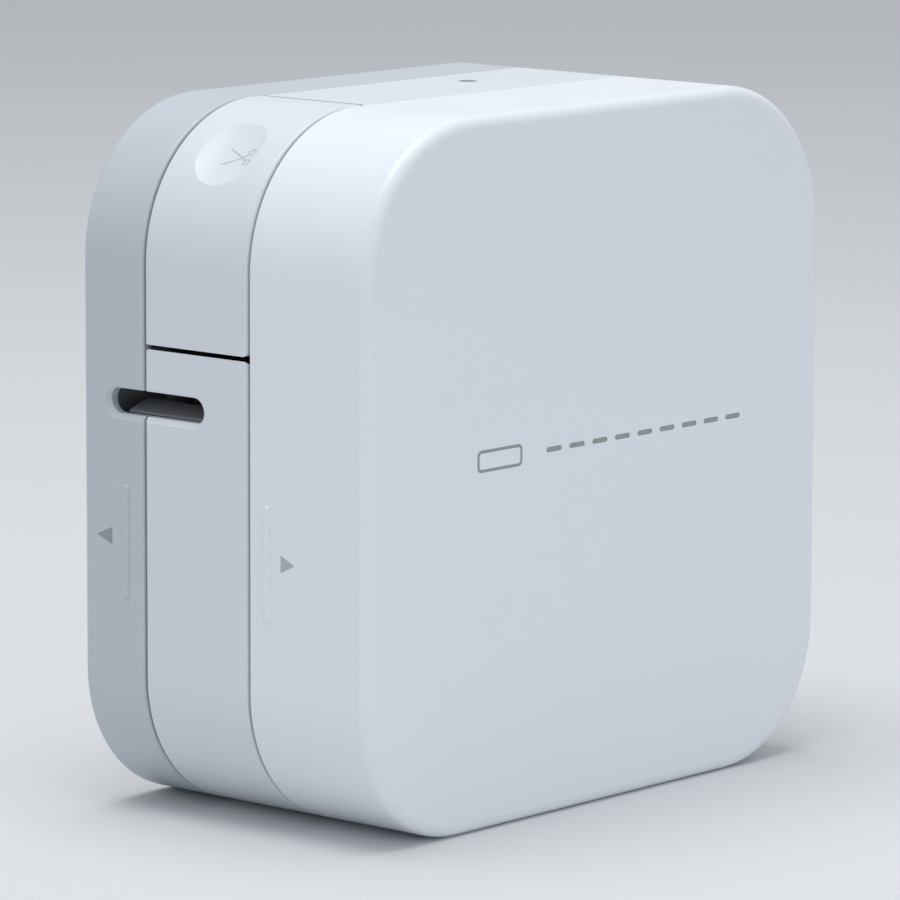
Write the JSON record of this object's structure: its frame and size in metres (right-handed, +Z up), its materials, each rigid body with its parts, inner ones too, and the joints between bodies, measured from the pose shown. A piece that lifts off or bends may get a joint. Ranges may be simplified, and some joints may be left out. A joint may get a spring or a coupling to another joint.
{
  "type": "label maker",
  "caption": "Upright rounded-square label maker with pull-apart case slices, a side tape slot, a corner cutter button, a replaceable tape cassette and dry cells.",
  "frame": {"origin": "centre of the case's footprint, on the surface that it stands on", "axes": "+X across the width, away from the tape slot; +Y from the large front face to the rear cover; +Z up"},
  "size_m": [0.1158, 0.061, 0.115],
  "materials": {
    "case_white": "fine satin moulded white",
    "frame_grey": "fine matt dark grey",
    "mechanism_black": "matt black",
    "steel": "ground",
    "spring_steel": "bright drawn wire",
    "blade_steel": "ground edge",
    "plate_steel": "zinc plated sheet",
    "motor_can": "plated can",
    "brass_gear": "machined",
    "gear_white": "natural moulded",
    "platen_rubber": "ground rubber",
    "head_ceramic": "glazed",
    "sink_aluminium": "as cast",
    "cassette_dark": "fine matt",
    "label_paper": "wound edge",
    "ribbon_film": "wound film",
    "label_film": "laminated",
    "circuit_board": "solder mask",
    "chip_black": "moulded",
    "shield_can": "tinned",
    "light_lens": "clear tinted",
    "button_dark": "smooth dark",
    "cell_wrap": "shrink sleeve"
  },
  "bodies": {
    "frame": {"centre_body": "case_white", "inner_frame": "frame_grey", "button_hinge_pin": "steel", "button_spring": "spring_steel", "blade_pivot_pin": "steel", "cutter_frame": "plate_steel", "fixed_blade": "blade_steel", "exit_guide": "plate_steel", "motor": "motor_can", "reduction_pin": "steel", "platen_idler_pin": "steel", "ribbon_idler_pin": "steel", "gear_plate": "plate_steel", "print_head": "head_ceramic", "heat_sink": "sink_aluminium", "platen_bracket": "plate_steel", "battery_tray": "mechanism_black", "battery_contact_lower": "spring_steel", "battery_contact_upper": "spring_steel", "supply_socket": "mechanism_black", "main_board": "circuit_board", "processor_chip": "chip_black", "radio_module": "shield_can", "switch_board": "circuit_board", "power_switch": "mechanism_black", "status_light": "light_lens", "gear_plate_screw_1": "steel", "gear_plate_screw_2": "steel", "gear_plate_screw_3": "steel", "gear_plate_screw_4": "steel"},
    "front_shell": {"front_cover": "case_white"},
    "rear_shell": {"rear_cover": "case_white"},
    "cutter_key": {"cutter_button": "case_white"},
    "blade_arm": {"moving_blade": "blade_steel", "blade_lever": "mechanism_black"},
    "power_key": {"power_button": "button_dark"},
    "motor_rotor": {"motor_pinion": "brass_gear"},
    "reduction": {"reduction_gear": "gear_white"},
    "platen_idler": {"platen_idler_gear": "gear_white"},
    "ribbon_idler": {"ribbon_idler_gear": "gear_white"},
    "ribbon_spool_drive": {"ribbon_drive": "gear_white"},
    "platen": {"platen_shaft": "steel", "platen_roller": "platen_rubber", "platen_gear": "gear_white"},
    "cassette": {"cassette_case_front": "cassette_dark", "cassette_case_rear": "cassette_dark", "label_spindle": "cassette_dark", "ribbon_spindle": "cassette_dark", "label_tape": "label_film", "tape_guide": "steel"},
    "label_supply": {"label_reel": "label_paper"},
    "ribbon_supply": {"ribbon_supply_reel": "ribbon_film"},
    "ribbon_takeup": {"ribbon_takeup_reel": "ribbon_film"},
    "cells": {"battery_cell_1": "cell_wrap", "battery_cell_2": "cell_wrap", "battery_cell_3": "cell_wrap", "battery_cell_4": "cell_wrap", "battery_cell_5": "cell_wrap", "battery_cell_6": "cell_wrap"}
  },
  "joints": [
    {"name": "front_cover_pull", "type": "slide", "parent": "frame", "child": "front_shell", "axis": [0, -1, 0], "range_m": [0, 0.04]},
    {"name": "rear_cover_pull", "type": "slide", "parent": "frame", "child": "rear_shell", "axis": [0, 1, 0], "range_m": [0, 0.04]},
    {"name": "cutter_press", "type": "hinge", "parent": "frame", "child": "cutter_key", "pos_m": [-0.0275, 0.007, 0.1088], "axis": [0, -1, 0], "range_deg": [0, 8], "stiffness_Nm_per_rad": 0.6, "springref_deg": -2.86, "deforming": ["button_spring"]},
    {"name": "blade_drop", "type": "hinge", "parent": "frame", "child": "blade_arm", "pos_m": [-0.047, 0.002, 0.0665], "axis": [-1, 0, 0], "range_deg": [0, 17]},
    {"name": "power_press", "type": "slide", "parent": "frame", "child": "power_key", "axis": [0, 0, -1], "range_m": [0, 0.0006], "stiffness_N_per_m": 300},
    {"name": "motor_spin", "type": "hinge", "parent": "frame", "child": "motor_rotor", "pos_m": [-0.03568, 0, 0.05061], "axis": [0, 1, 0], "continuous": true},
    {"name": "reduction_spin", "type": "hinge", "parent": "frame", "child": "reduction", "pos_m": [-0.02102, 0, 0.05594], "axis": [0, 1, 0], "continuous": true},
    {"name": "platen_idler_spin", "type": "hinge", "parent": "frame", "child": "platen_idler", "pos_m": [-0.012, 0, 0.05922], "axis": [0, 1, 0], "continuous": true},
    {"name": "ribbon_idler_spin", "type": "hinge", "parent": "frame", "child": "ribbon_idler", "pos_m": [-0.02087, 0, 0.04274], "axis": [0, 1, 0], "continuous": true},
    {"name": "ribbon_drive_spin", "type": "hinge", "parent": "frame", "child": "ribbon_spool_drive", "pos_m": [-0.015, 0, 0.027], "axis": [0, 1, 0], "continuous": true},
    {"name": "platen_spin", "type": "hinge", "parent": "frame", "child": "platen", "pos_m": [-0.012, 0, 0.07122], "axis": [0, 1, 0], "continuous": true},
    {"name": "cassette_lift", "type": "slide", "parent": "frame", "child": "cassette", "axis": [0, 1, 0], "range_m": [0, 0.024]},
    {"name": "label_reel_spin", "type": "hinge", "parent": "cassette", "child": "label_supply", "pos_m": [0.015, 0, 0.04], "axis": [0, 1, 0], "continuous": true},
    {"name": "ribbon_supply_spin", "type": "hinge", "parent": "cassette", "child": "ribbon_supply", "pos_m": [-0.014, 0, 0.046], "axis": [0, 1, 0], "continuous": true},
    {"name": "ribbon_takeup_spin", "type": "hinge", "parent": "cassette", "child": "ribbon_takeup", "pos_m": [-0.015, 0, 0.027], "axis": [0, 1, 0], "continuous": true},
    {"name": "cells_lift", "type": "slide", "parent": "frame", "child": "cells", "axis": [0, -1, 0], "range_m": [0, 0.024]}
  ],
  "couplings": [
    {"joint": "blade_drop", "follows": "cutter_press", "ratio": 1.6875},
    {"joint": "motor_spin", "follows": "label_reel_spin", "ratio": -28.435},
    {"joint": "reduction_spin", "follows": "label_reel_spin", "ratio": 8.5306},
    {"joint": "platen_idler_spin", "follows": "label_reel_spin", "ratio": -6.6349},
    {"joint": "platen_spin", "follows": "label_reel_spin", "ratio": 5.4286},
    {"joint": "ribbon_idler_spin", "follows": "label_reel_spin", "ratio": -3.981},
    {"joint": "ribbon_drive_spin", "follows": "label_reel_spin", "ratio": 4.5934},
    {"joint": "ribbon_takeup_spin", "follows": "label_reel_spin", "ratio": 4.5934},
    {"joint": "ribbon_supply_spin", "follows": "label_reel_spin", "ratio": -5.5777},
    {"joint": "cassette_lift", "follows": "rear_cover_pull", "ratio": 0.6},
    {"joint": "cells_lift", "follows": "front_cover_pull", "ratio": 0.6}
  ]
}
